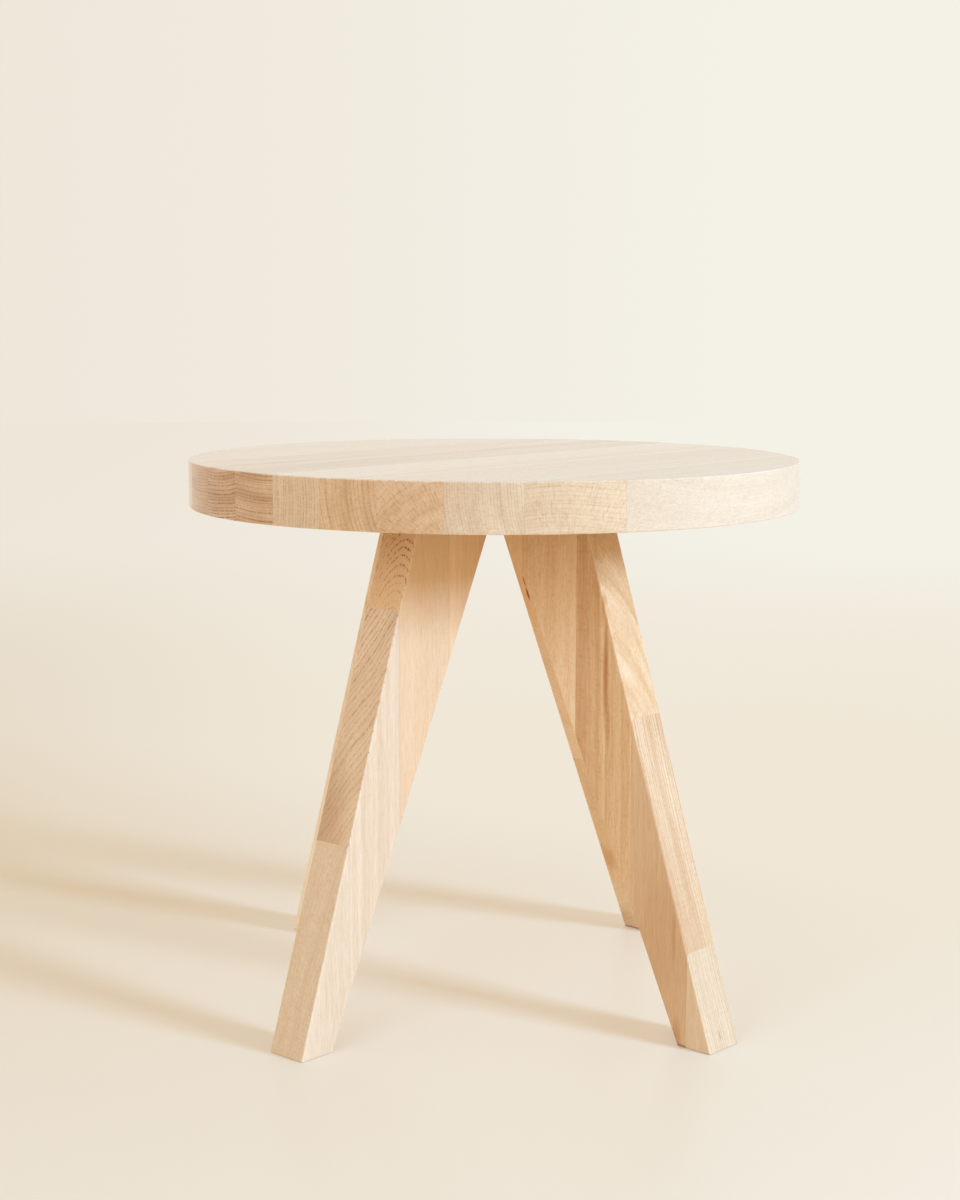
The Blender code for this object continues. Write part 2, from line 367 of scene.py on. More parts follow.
# Fibres: long streaks along the grain. Real ones are 0.02 mm thick; bundles show.
FIBRES = Grain((2.4 * MM, 2.4 * MM, 70 * MM), 0.25, 0.75, detail=4)
THREADS = Grain((0.75 * MM, 0.75 * MM, 12 * MM), 0.28, 0.72, detail=0)
# Ticks: rays, sheets that stand across the rings, and pores, tubes along the grain. Real
# ones are 0.1 mm thick, and are drawn 0.6 mm thick and more to show.
RAYS = Grain((12 * MM, 0.8 * MM, 3 * MM), 0.52, 0.75)
PORES = Grain((0.6 * MM, 0.6 * MM, 8 * MM), 0.56, 0.78)
# The pieces that rays break a year's line into
DASH_SIZE = (6 * MM, 2.2 * MM, 3 * MM)

# Some years end darker than others: the noise of the palest years and of the darkest, and
# how dark the palest are
PALE_YEAR, DARK_YEAR, PALEST_LINE = 0.28, 0.56, 0.25
# Where in the noise a dash begins, how much later it does on a broken line, how soon after
# that it is full, and how much of the line is lost between dashes
DASH_START, DASH_LATER, DASH_EDGE, DASH_LOSS = 0.34, 0.12, 0.16, 0.8

# How much each mark deepens the colour. Streaks show more where the bands are brown.
YEAR_SHARE = 1.4
LEAST_STREAKS, HEART_STREAKS = 0.15, 0.3
THREAD_SHARE = 0.2
TICK_SHARE = 0.5
# Below 0 the arrises turn paler: partly wear, partly a painted highlight
ARRIS_WEAR_AND_HIGHLIGHT_SHARE = -1.0
# A mark of colour or of painted shade is full within this share of its reach
STAIN_OR_SHADE_CORE = 0.2

# How far the rings wander, over some centimetres and over some millimetres: the width of a
# swell, and its reach. A swell is this many times as long along the trunk.
SWELLS = ((45 * MM, 5.0 * MM), (11 * MM, 0.7 * MM))
SWELL_LENGTH = 8

# Through one year's wood: how far through, and how dark it is there
YEAR = ((0.0, 0.4), (0.1, 0.06), (0.5, 0.0), (0.8, 0.22), (0.93, 1.0), (1.0, 0.4))
# How many rings the width of good and lean years may shift a line by
YEARS_ASTRAY = 2.2
# A year's line along the grain, beside what it is on a cut across the fibres
LONG_LINE = 0.12
# How squarely the fibres are cut, as a squared cosine, where the line shows in full
CROSS_CUT = 0.1

# No stave is sawn quite along its trunk
SAWN_ASKEW = math.radians(0.6)
# How much light is lost among the fibres' open ends
END_LOSS = 0.08
# Sanded smooth, so that only the pores and rays are left to feel, and satin
PORE_DEPTH = 0.1 * MM
LEAST_ROUGH, MOST_ROUGH = 0.5, 0.62


def add(tree, kind, inputs=None, **settings):
    """Adds a node, makes its settings, and fills its inputs with values or links."""
    node = tree.nodes.new(kind)
    for name, value in settings.items():
        setattr(node, name, value)
    for socket, value in (inputs or {}).items():
        if isinstance(value, bpy.types.NodeSocket):
            tree.links.new(value, node.inputs[socket])
        else:
            node.inputs[socket].default_value = value
    return node


def new_material(name):
    material = bpy.data.materials.new(name)
    material.use_nodes = True
    material.node_tree.nodes.clear()
    return material, material.node_tree


def grains(tree, place, size, start=0.0, end=1.0, detail=1, least=0.0):
    """Noise with grains this long along each axis, as a level: its least up to the start,
    and 1 from the end on."""
    stretched = add(
        tree,
        "ShaderNodeVectorMath",
        {0: place, 1: [1 / length for length in size]},
        operation="MULTIPLY",
    ).outputs["Vector"]
    noise = add(
        tree,
        "ShaderNodeTexNoise",
        {"Vector": stretched, "Scale": 1, "Detail": detail, "Roughness": 0.62},
    ).outputs["Fac"]
    return add(
        tree,
        "ShaderNodeMapRange",
        {"Value": noise, "From Min": start, "From Max": end, "To Min": least, "To Max": 1.0},
    ).outputs["Result"]


def log_place(tree, place, facts, middle, across, along, seed):
    """Where a point of the stave was in its log: X away from the pith, Z along the trunk."""
    way = math.radians(facts.pith_way)
    to_pith = math.cos(way) * across + math.sin(way) * along.cross(across)
    pith = middle + facts.pith_far * MM * to_pith
    turn = Matrix((-to_pith, along.cross(-to_pith), along))
    tilt = Euler((SAWN_ASKEW * math.sin(seed), SAWN_ASKEW * math.cos(seed), 0))
    turn = tilt.to_matrix() @ turn
    return add(
        tree,
        "ShaderNodeMapping",
        {
            "Vector": place,
            "Rotation": turn.to_euler(),
            "Location": -(turn @ pith) + seed * UP,
        },
    ).outputs["Vector"]


def wandering(tree, log, facts):
    """How far the rings stray from a perfect round, because a trunk isn't straight."""
    wander = (0, 0, 0)
    for width, reach in SWELLS:
        reach *= facts.wander
        near = add(
            tree,
            "ShaderNodeMapping",
            {"Vector": log, "Scale": (1 / width, 1 / width, 1 / (SWELL_LENGTH * width))},
        ).outputs["Vector"]
        swell = add(
            tree, "ShaderNodeTexNoise", {"Vector": near, "Scale": 1, "Detail": 1}
        ).outputs["Color"]
        swell = add(
            tree, "ShaderNodeVectorMath", {0: swell, 1: (0.5, 0.5, 0.5)}, operation="SUBTRACT"
        ).outputs["Vector"]
        wander = add(
            tree,
            "ShaderNodeVectorMath",
            {0: swell, 1: (reach, reach, 0), 2: wander},
            operation="MULTIPLY_ADD",
        ).outputs["Vector"]
    return wander


def ring_place(tree, grown, facts):
    """The distance from the pith, and a place that follows the rings: away from the pith,
    round it, and along the trunk."""
    parts = add(tree, "ShaderNodeSeparateXYZ", {"Vector": grown}).outputs
    flat = add(tree, "ShaderNodeCombineXYZ", {"X": parts["X"], "Y": parts["Y"]}).outputs["Vector"]
    radius = add(tree, "ShaderNodeVectorMath", {0: flat}, operation="LENGTH").outputs["Value"]
    bearing = add(
        tree, "ShaderNodeMath", {0: parts["Y"], 1: parts["X"]}, operation="ARCTAN2"
    ).outputs["Value"]
    round_way = add(
        tree, "ShaderNodeMath", {0: bearing, 1: facts.pith_far * MM}, operation="MULTIPLY"
    ).outputs["Value"]
    trunk = add(
        tree, "ShaderNodeCombineXYZ", {"X": radius, "Y": round_way, "Z": parts["Z"]}
    ).outputs["Vector"]
    return radius, trunk


def year_shade(tree, radius, trunk, year):
    """Good years are wide and lean years narrow, and each ends in a thin dark line."""
    lean = grains(tree, trunk, (2.5 * year, 1, 1))
    years = add(tree, "ShaderNodeMath", {0: radius, 1: 1 / year}, operation="MULTIPLY")
    age = add(
        tree,
        "ShaderNodeMath",
        {0: lean, 1: YEARS_ASTRAY, 2: years.outputs["Value"]},
        operation="MULTIPLY_ADD",
    ).outputs["Value"]
    season = add(tree, "ShaderNodeMath", {0: age}, operation="FRACT").outputs["Value"]
    growth = add(tree, "ShaderNodeValToRGB", {"Fac": season})
    stops = growth.color_ramp.elements
    for spot, _ in YEAR[1:-1]:
        stops.new(spot)
    for stop, (_, dark) in zip(stops, YEAR, strict=True):
        stop.color = (dark, dark, dark, 1)
    return growth.outputs["Color"]


def squareness(tree, normal, way):
    """How squarely a face looks along a way: the squared cosine of the angle between."""
    cosine = add(
        tree, "ShaderNodeVectorMath", {0: normal, 1: way}, operation="DOT_PRODUCT"
    ).outputs["Value"]
    return add(
        tree, "ShaderNodeMath", {0: cosine, 1: cosine}, operation="MULTIPLY"
    ).outputs["Value"]


def beech(node, facts, middle, across, along, seed, polish):
    """Bare beech, burnished by sanding: pale and satin, with fine dark ring lines, soft brown
    bands, long fibre streaks, and short brown ticks where rays and pores are cut along.

    middle is a point of the stave's core, across one of its cross-section axes, and along
    the way of its grain. The pattern is laid out round the stave's own pith. Every mark
    deepens the wood's own colour, as more of the same pigment would. Some stains are painted
    shade instead, under the top and at the feet, and the arrises are paler with wear and a
    painted highlight.
    """
    tone = getattr(bpy.context.scene.plant_table.beech, SLOTS[node].removeprefix("beech_"))
    tone = [tone[1] * (tone[c] / tone[1]) ** facts.warmth for c in range(3)] + [1]
    side = along.cross(across)
    material, tree = new_material(f"sanded_beech_{node}")
    coordinates = add(tree, "ShaderNodeTexCoord").outputs
    log = log_place(tree, coordinates["Object"], facts, middle, across, along, seed)
    wander = wandering(tree, log, facts)
    grown = add(tree, "ShaderNodeVectorMath", {0: log, 1: wander}).outputs["Vector"]
    radius, trunk = ring_place(tree, grown, facts)
    year = facts.ring * MM
    ring = year_shade(tree, radius, trunk, year)

    # Cut across, the fibres' open ends drink in light, and a year's line shows far more
    end_cut = squareness(tree, coordinates["Normal"], along)
    crossed = add(
        tree,
        "ShaderNodeMapRange",
        {
            "Value": end_cut,
            "From Max": CROSS_CUT,
            "To Min": LONG_LINE / max(1, facts.dark),
            "To Max": 1.0,
        },
    ).outputs["Result"]

    # Sanding and handling wear the arrises paler, and a painted highlight, for the light that
    # rounded edges catch, makes them paler still: the faces between a flat face and an edge
    flat_share = squareness(tree, coordinates["Normal"], side)
    edge_share = add(
        tree, "ShaderNodeMath", {0: 1.0, 1: flat_share}, operation="SUBTRACT"
    ).outputs["Value"]
    arris_wear_and_highlight = add(
        tree, "ShaderNodeMath", {0: flat_share, 1: edge_share}, operation="MULTIPLY"
    ).outputs["Value"]

    # Some years end darker than others, and the rays break every line into dashes
    size = (1.2 * year, 1, 1)
    year_dark = grains(tree, trunk, size, PALE_YEAR, DARK_YEAR, detail=2, least=PALEST_LINE)
    start = DASH_START + DASH_LATER * facts.broken
    whole = 1 - min(1, DASH_LOSS * facts.broken)
    dashes = grains(tree, trunk, DASH_SIZE, start, start + DASH_EDGE, least=whole)
    for factor in (crossed, year_dark, dashes):
        ring = add(
            tree, "ShaderNodeMath", {0: ring, 1: factor}, operation="MULTIPLY"
        ).outputs["Value"]
    band = grains(tree, trunk, *BANDS)
    fibre = grains(tree, trunk, *FIBRES)
    threads = grains(tree, trunk, *THREADS)
    rays = grains(tree, trunk, *RAYS)
    pores = grains(tree, trunk, *PORES)
    tick = add(
        tree, "ShaderNodeMath", {0: rays, 1: pores}, operation="MAXIMUM"
    ).outputs["Value"]

    # Each mark deepens the colour by its own share. Those that cover the wood are half way
    # on average, so half their shares come off first.
    streaks = LEAST_STREAKS + HEART_STREAKS * facts.heart
    depth = facts.depth - 0.5 * (streaks + THREAD_SHARE + facts.heart)
    for mark, share in (
        (ring, YEAR_SHARE * facts.dark),
        (band, facts.heart),
        (fibre, streaks),
        (threads, THREAD_SHARE),
        (tick, TICK_SHARE * facts.speckle),
        (end_cut, facts.thirst),
        (arris_wear_and_highlight, ARRIS_WEAR_AND_HIGHLIGHT_SHARE),
    ):
        depth = add(
            tree, "ShaderNodeMath", {0: mark, 1: share, 2: depth}, operation="MULTIPLY_ADD"
        ).outputs["Value"]

    # Stains, and the painted shade under the top and at the feet, are ragged where the grain
    # wanders
    strayed = add(
        tree, "ShaderNodeVectorMath", {0: coordinates["Object"], 1: wander}
    ).outputs["Vector"]
    for stain_or_shade in STAINS_AND_SHADE.get(node, ()):
        outwards, left, up = stain_or_shade.middle
        inside = add(
            tree,
            "ShaderNodeMapping",
            {
                "Vector": strayed,
                "Location": outwards * across + left * side + up * UP,
                "Rotation": (0, 0, math.atan2(across.y, across.x)),
                "Scale": stain_or_shade.reach,
            },
            vector_type="TEXTURE",
        ).outputs["Vector"]
        far = add(tree, "ShaderNodeVectorMath", {0: inside}, operation="LENGTH").outputs["Value"]
        shade = add(
            tree,
            "ShaderNodeMapRange",
            {"Value": far, "From Min": 1.0, "From Max": STAIN_OR_SHADE_CORE},
            interpolation_type="SMOOTHSTEP",
        ).outputs["Result"]
        depth = add(
            tree,
            "ShaderNodeMath",
            {0: shade, 1: stain_or_shade.strength, 2: depth},
            operation="MULTIPLY_ADD",
        ).outputs["Value"]
    deep = add(tree, "ShaderNodeGamma", {"Color": tone, "Gamma": depth}).outputs["Color"]
    dull = add(
        tree, "ShaderNodeMath", {0: end_cut, 1: END_LOSS}, operation="MULTIPLY"
    ).outputs["Value"]
    deep = add(
        tree, "ShaderNodeMix", {0: dull, MIX_A: deep, MIX_B: (0, 0, 0, 1)}, data_type="RGBA"
    ).outputs[MIX_RESULT]

    relief = add(
        tree, "ShaderNodeMath", {0: tick, 1: -0.5, 2: fibre}, operation="MULTIPLY_ADD"
    ).outputs["Value"]
    bump = add(
        tree, "ShaderNodeBump", {"Height": relief, "Strength": 0.3, "Distance": PORE_DEPTH}
    ).outputs["Normal"]
    roughness = add(
        tree, "ShaderNodeMapRange", {"Value": fibre, "To Min": LEAST_ROUGH, "To Max": MOST_ROUGH}
    ).outputs["Result"]
    shader = add(
        tree,
        "ShaderNodeBsdfPrincipled",
        {
            "Base Color": deep,
            "Roughness": roughness,
            "IOR": 1.5,
            "Normal": bump,
            "Coat Weight": polish,
            "Coat Roughness": 0.15,
        },
    ).outputs["BSDF"]
    add(tree, "ShaderNodeOutputMaterial", {"Surface": shader})
    return material


def select_only(piece):
    bpy.ops.object.select_all(action="DESELECT")
    piece.select_set(True)
    bpy.context.view_layer.objects.active = piece


def select_where(piece, kind, test):
    """In edit mode, selects only the vertices, edges or faces that pass the test."""
    bpy.ops.mesh.select_mode(type=kind)
    bpy.ops.mesh.select_all(action="DESELECT")
    shape = bmesh.from_edit_mesh(piece.data)
    for part in {"VERT": shape.verts, "EDGE": shape.edges, "FACE": shape.faces}[kind]:
        if test(part):
            part.select_set(True)
    shape.select_flush_mode()
    bmesh.update_edit_mesh(piece.data)


def added(name):
    """The primitive that an operator has just added, under its own name."""
    piece = bpy.context.active_object
    piece.name = piece.data.name = name
    select_only(piece)
    return piece


def copied(blank, name):
    piece = blank.copy()
    piece.data = blank.data.copy()
    piece.name = piece.data.name = name
    bpy.context.scene.collection.objects.link(piece)
    return piece


def removed(piece):
    mesh = piece.data
    bpy.data.objects.remove(piece)
    bpy.data.meshes.remove(mesh)


def span(node, axis):
    """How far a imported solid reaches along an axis, lowest and highest."""
    places = [vert.co.dot(axis) for vert in frame["nodes"][node].data.vertices]
    return min(places), max(places)


def saw(piece, axis, low, high):
    """Keeps what lies between two planes square to an axis, either of which may be None."""
    select_only(piece)
    bpy.ops.object.mode_set(mode="EDIT")
    for place, keep_above in ((low, True), (high, False)):
        if place is not None:
            bpy.ops.mesh.select_all(action="SELECT")
            bpy.ops.mesh.bisect(
                plane_co=place * axis,
                plane_no=axis,
                use_fill=True,
                clear_inner=keep_above,
                clear_outer=not keep_above,
            )
    bpy.ops.object.mode_set(mode="OBJECT")


def stave_cuts(nodes, axis):
    """Where to saw each stave from the blank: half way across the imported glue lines."""
    spans = {node: span(node, axis) for node in nodes}
    seams = [(spans[a][1] + spans[b][0]) / 2 for a, b in zip(nodes, nodes[1:])]
    lows = [None] + [seam + GLUE_LINE / 2 for seam in seams]
    highs = [seam - GLUE_LINE / 2 for seam in seams] + [None]
    return dict(zip(nodes, zip(lows, highs)))


def drill(piece, bits):
    """Cuts the dowel holes that reach into a stave, and leaves it otherwise alone."""
    low, high = piece.bound_box[LOWEST_CORNER], piece.bound_box[HIGHEST_CORNER]
    for bit in bits:
        near, far = bit.bound_box[LOWEST_CORNER], bit.bound_box[HIGHEST_CORNER]
        if any(far[axis] < low[axis] or near[axis] > high[axis] for axis in range(3)):
            continue
        select_only(piece)
        hole = piece.modifiers.new("dowel hole", "BOOLEAN")
        hole.operation = "DIFFERENCE"
        hole.object = bit
        bpy.ops.object.modifier_apply(modifier=hole.name)


def finish_wood(piece, node, material):
    """Smooth faces where the wood is round, flat ones where it was planed."""
    select_only(piece)
    bpy.ops.object.shade_smooth_by_angle(angle=SMOOTH_ANGLE)
    flat_faces = piece.modifiers.new("flat faces stay flat", "WEIGHTED_NORMAL")
    flat_faces.keep_sharp = True
    bpy.ops.object.modifier_apply(modifier=flat_faces.name)
    piece.data.materials.clear()
    piece.data.materials.append(material)
    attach(piece, "root")
    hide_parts(node)


def dowel_nodes():
    return [f"{leg}_{place}_dowel" for leg in LEG_ANGLES for place in DOWEL_PLACES]


def dowel_shape(node, side_room, end_room, steps, name):
    """A cylinder round a packed dowel, with this much room all round it."""
    low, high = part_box(node)
    middle = (low + high) / 2
    bpy.ops.mesh.primitive_cylinder_add(
        vertices=steps,
        radius=(high.x - low.x) / 2 + side_room,
        depth=high.z - low.z + 2 * end_room,
        location=middle,
    )
    piece = added(name)
    bpy.ops.object.transform_apply()
    return piece


def drill_bits():
    facts = bpy.context.scene.plant_table.dowels
    return [
        dowel_shape(node, facts.side_room, facts.end_room, HOLE_STEPS, f"bit_{node}")
        for node in dowel_nodes()
    ]


class PLANTTABLE_OT_top(bpy.types.Operator):
    """Saws the round top from its board, stave by stave"""

    bl_idname = "plant_table.top"
    bl_label = "Round top"

    def execute(self, context):
        looks = context.scene.plant_table.top
        nodes = list(TOP_STAVES)
        along = -Vector((math.cos(looks.angle), math.sin(looks.angle), 0))
        across = UP.cross(along)
        low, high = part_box(nodes[len(nodes) // 2])
        thickness = high.z - low.z
        bpy.ops.mesh.primitive_cylinder_add(
            vertices=looks.rim_steps,
            radius=(cad_high.x - cad_low.x) / 2,
            depth=thickness,
            location=(0, 0, low.z + thickness / 2),
        )
        disc = added("top_board")
        bpy.ops.object.transform_apply()
        bpy.ops.object.mode_set(mode="EDIT")
        select_where(disc, "EDGE", lambda edge: edge.verts[0].co.z == edge.verts[1].co.z)
        bpy.ops.mesh.bevel(offset=looks.edge_ease, segments=RIM_EASE_STEPS, profile=0.5)
        bpy.ops.object.mode_set(mode="OBJECT")
        bits = drill_bits()
        for count, (node, (start, end)) in enumerate(stave_cuts(nodes, across).items()):
            piece = copied(disc, f"beech_{node}")
            saw(piece, across, start, end)
            drill(piece, bits)
            reach = span(node, across)
            middle = sum(reach) / 2 * across + (low.z + thickness / 2) * UP
            seed = TOP_SEED * (count + 1)
            material = beech(node, TOP_STAVES[node], middle, across, along, seed, TOP_POLISH)
            finish_wood(piece, node, material)
        for spare in (disc, *bits):
            removed(spare)
        return {"FINISHED"}


class PLANTTABLE_OT_legs(bpy.types.Operator):
    """Saws the four wedge-shaped legs from their planks, stave by stave"""

    bl_idname = "plant_table.legs"
    bl_label = "Legs"

    def execute(self, context):
        bits = drill_bits()
        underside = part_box("top_stave_06")[0].z
        for number, (leg, angle) in enumerate(LEG_ANGLES.items()):
            blank = self.leg_blank(context.scene.plant_table.legs, underside - HEAD_JOINT)
            blank.rotation_euler.z = angle
            bpy.ops.object.transform_apply()
            outwards = Vector((math.cos(angle), math.sin(angle), 0))
            staves = {
                f"{leg}_leg_stave_{place}": facts for place, facts in enumerate(LEG_STAVES[leg], 1)
            }
            cuts = stave_cuts(list(staves), outwards)
            for count, (node, (start, end)) in enumerate(cuts.items()):
                piece = copied(blank, f"beech_{node}")
                saw(piece, outwards, start, end)
                drill(piece, bits)
                low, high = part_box(node)
                middle = sum(span(node, outwards)) / 2 * outwards + (low.z + high.z) / 2 * UP
                seed = LEG_SEED * (number + 1) + LEG_STAVE_SEED * count
                material = beech(node, staves[node], middle, outwards, UP, seed, LEG_POLISH)
                finish_wood(piece, node, material)
            removed(blank)
        for bit in bits:
            removed(bit)
        return {"FINISHED"}

    def leg_blank(self, looks, height):
        """The whole wedge, its X axis outwards, with rounded long edges and an eased foot."""
        head_middle = looks.head_inner + looks.head_width / 2
        foot_middle = looks.foot_inner + looks.foot_width / 2
        bpy.ops.mesh.primitive_cube_add(
            size=1,
            location=(head_middle, looks.side_shift, height / 2),
            scale=(looks.head_width, looks.thickness, height),
        )
        blank = added("leg_blank")
        bpy.ops.object.transform_apply()
        bpy.ops.object.mode_set(mode="EDIT")
        select_where(blank, "FACE", lambda face: face.normal.z < -0.5)
        bpy.ops.transform.resize(value=(looks.foot_width / looks.head_width, 1, 1))
        bpy.ops.transform.translate(value=(foot_middle - head_middle, 0, 0))
        select_where(blank, "EDGE", lambda edge: edge.verts[0].co.z != edge.verts[1].co.z)
        bpy.ops.mesh.bevel(offset=looks.edge_round, segments=LEG_EDGE_STEPS, profile=0.5)
        select_where(blank, "EDGE", lambda edge: max(vert.co.z for vert in edge.verts) < MM)
        bpy.ops.mesh.bevel(offset=looks.foot_ease, segments=FOOT_EASE_STEPS, profile=0.5)
        # The bevel leaves some faces in another order each run
        bpy.ops.mesh.select_all(action="SELECT")
        bpy.ops.mesh.sort_elements(type="CURSOR_DISTANCE", elements={"FACE"})
        bpy.ops.object.mode_set(mode="OBJECT")
        return blank


class PLANTTABLE_OT_dowels(bpy.types.Operator):
    """Turns the fluted dowels that hold the legs to the top"""

    bl_idname = "plant_table.dowels"
    bl_label = "Dowels"

    def execute(self, context):
        looks = context.scene.plant_table.dowels
        for count, node in enumerate(dowel_nodes()):
            piece = dowel_shape(node, 0, 0, DOWEL_STEPS, f"beech_{node}")
            low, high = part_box(node)
            middle = (low + high) / 2
            bpy.ops.object.mode_set(mode="EDIT")
            select_where(piece, "FACE", lambda face: abs(face.normal.z) > 0.5)
            bpy.ops.mesh.inset(thickness=looks.chamfer)
            select_where(
                piece,
                "VERT",
                lambda vert: min(high.z - vert.co.z, vert.co.z - low.z) < looks.chamfer / 2
                and (vert.co - middle).xy.length > (high.x - low.x) / 2 - looks.chamfer / 2,
            )
            shrink = 1 - 2 * looks.chamfer / (high.z - low.z)
            bpy.ops.transform.resize(value=(1, 1, shrink), center_override=middle)
            select_where(
                piece,
                "EDGE",
                lambda edge: abs(edge.verts[0].co.z - edge.verts[1].co.z) > 2 * looks.chamfer
                and self.is_flute((edge.verts[0].co - middle).xy),
            )
            slim = 1 - 2 * looks.flute_depth / (high.x - low.x)
            bpy.ops.transform.resize(value=(slim, slim, 1), center_override=middle)
            bpy.ops.object.mode_set(mode="OBJECT")
            across, seed = Vector((1, 0, 0)), DOWEL_SEED * count
            material = beech(node, DOWEL_BEECH, middle, across, UP, seed, DOWEL_POLISH)
            finish_wood(piece, node, material)
        return {"FINISHED"}

    def is_flute(self, place):
        """Whether this edge of the dowel, counted round it, is a flute's bottom."""
        turns = math.atan2(place.y, place.x) / (2 * math.pi)
        return round(turns * DOWEL_STEPS) % FLUTE_EVERY == 0


class Lamp(NamedTuple):
    """A square softbox, aimed at the table"""

    name: str
    compass: float  # its direction from the table, in degrees
    rise: float  # and how high it hangs, in degrees
    away: float  # its distance
    size: float
    watts: float
    tint: tuple


# The key's light comes from the front right. The fill holds the shade of the left side.
LAMPS = (
    Lamp("key_softbox", 325, 20.5, 3.6, 0.7, 132, (0.405, 0.663, 0.91)),
    Lamp("front_fill", 235, 25, 3.0, 1.6, 18.5, (0.455, 0.73, 1.0)),
)

# What the world lights with: its colour, and its strength low down and overhead. These
# two ways are the height of the direction that it comes from, 0 level and 1 straight up.
FILL_COLOUR = (1.0, 0.765, 0.485, 1)
LOW_WAY, OVERHEAD_WAY = 0.1, 0.9
FILL_LOW = 1.50
FILL_OVERHEAD = 0.52

# The camera's heading, pitch and roll in degrees, and its place
CAMERA_TURNS = (-2.894, 90 - 7.953, 0.126)
CAMERA_PLACE = (-0.0979, -1.7121, 0.5703)

# Where the floor's board has run into the paper: some way along the direction behind the
# table, and all round past the shadow, which falls to the left and behind
BEHIND = (0.8, 1.0, 0)
BEHIND_START, BEHIND_END = 0.0, 0.75
SHADOW_MIDDLE = (-0.35, 0.45, 0)
OUTSIDE_START, OUTSIDE_END = 1.15, 1.7
# Under the table the paper's glow shows a little too: painted light that lifts the
# table's shadow there, as light from all round would
PAINTED_FILL_SHARE = 0.24
PAINTED_FILL_START, PAINTED_FILL_END = 0.15, 0.5
# Where the paper starts to climb, and where it has turned into the wall
CLIMB_START, CLIMB_END = 0.9, 3.5
# Between which places the left colour turns into the right one: on the paper near the table
# and far from it, in metres to the right of the axis; and on the wall, as a share of the
# direction in which it is seen
NEAR_TURN = (-0.9, 0.0)
FAR_TURN = (-1.2, 1.2)
WALL_TURN = (-0.25, 0.25)
FLOOR_RADIUS = 9
# The floor lies this far under the feet, or their undersides would flicker in it
FLOOR_ROOM = 0.1 * MM


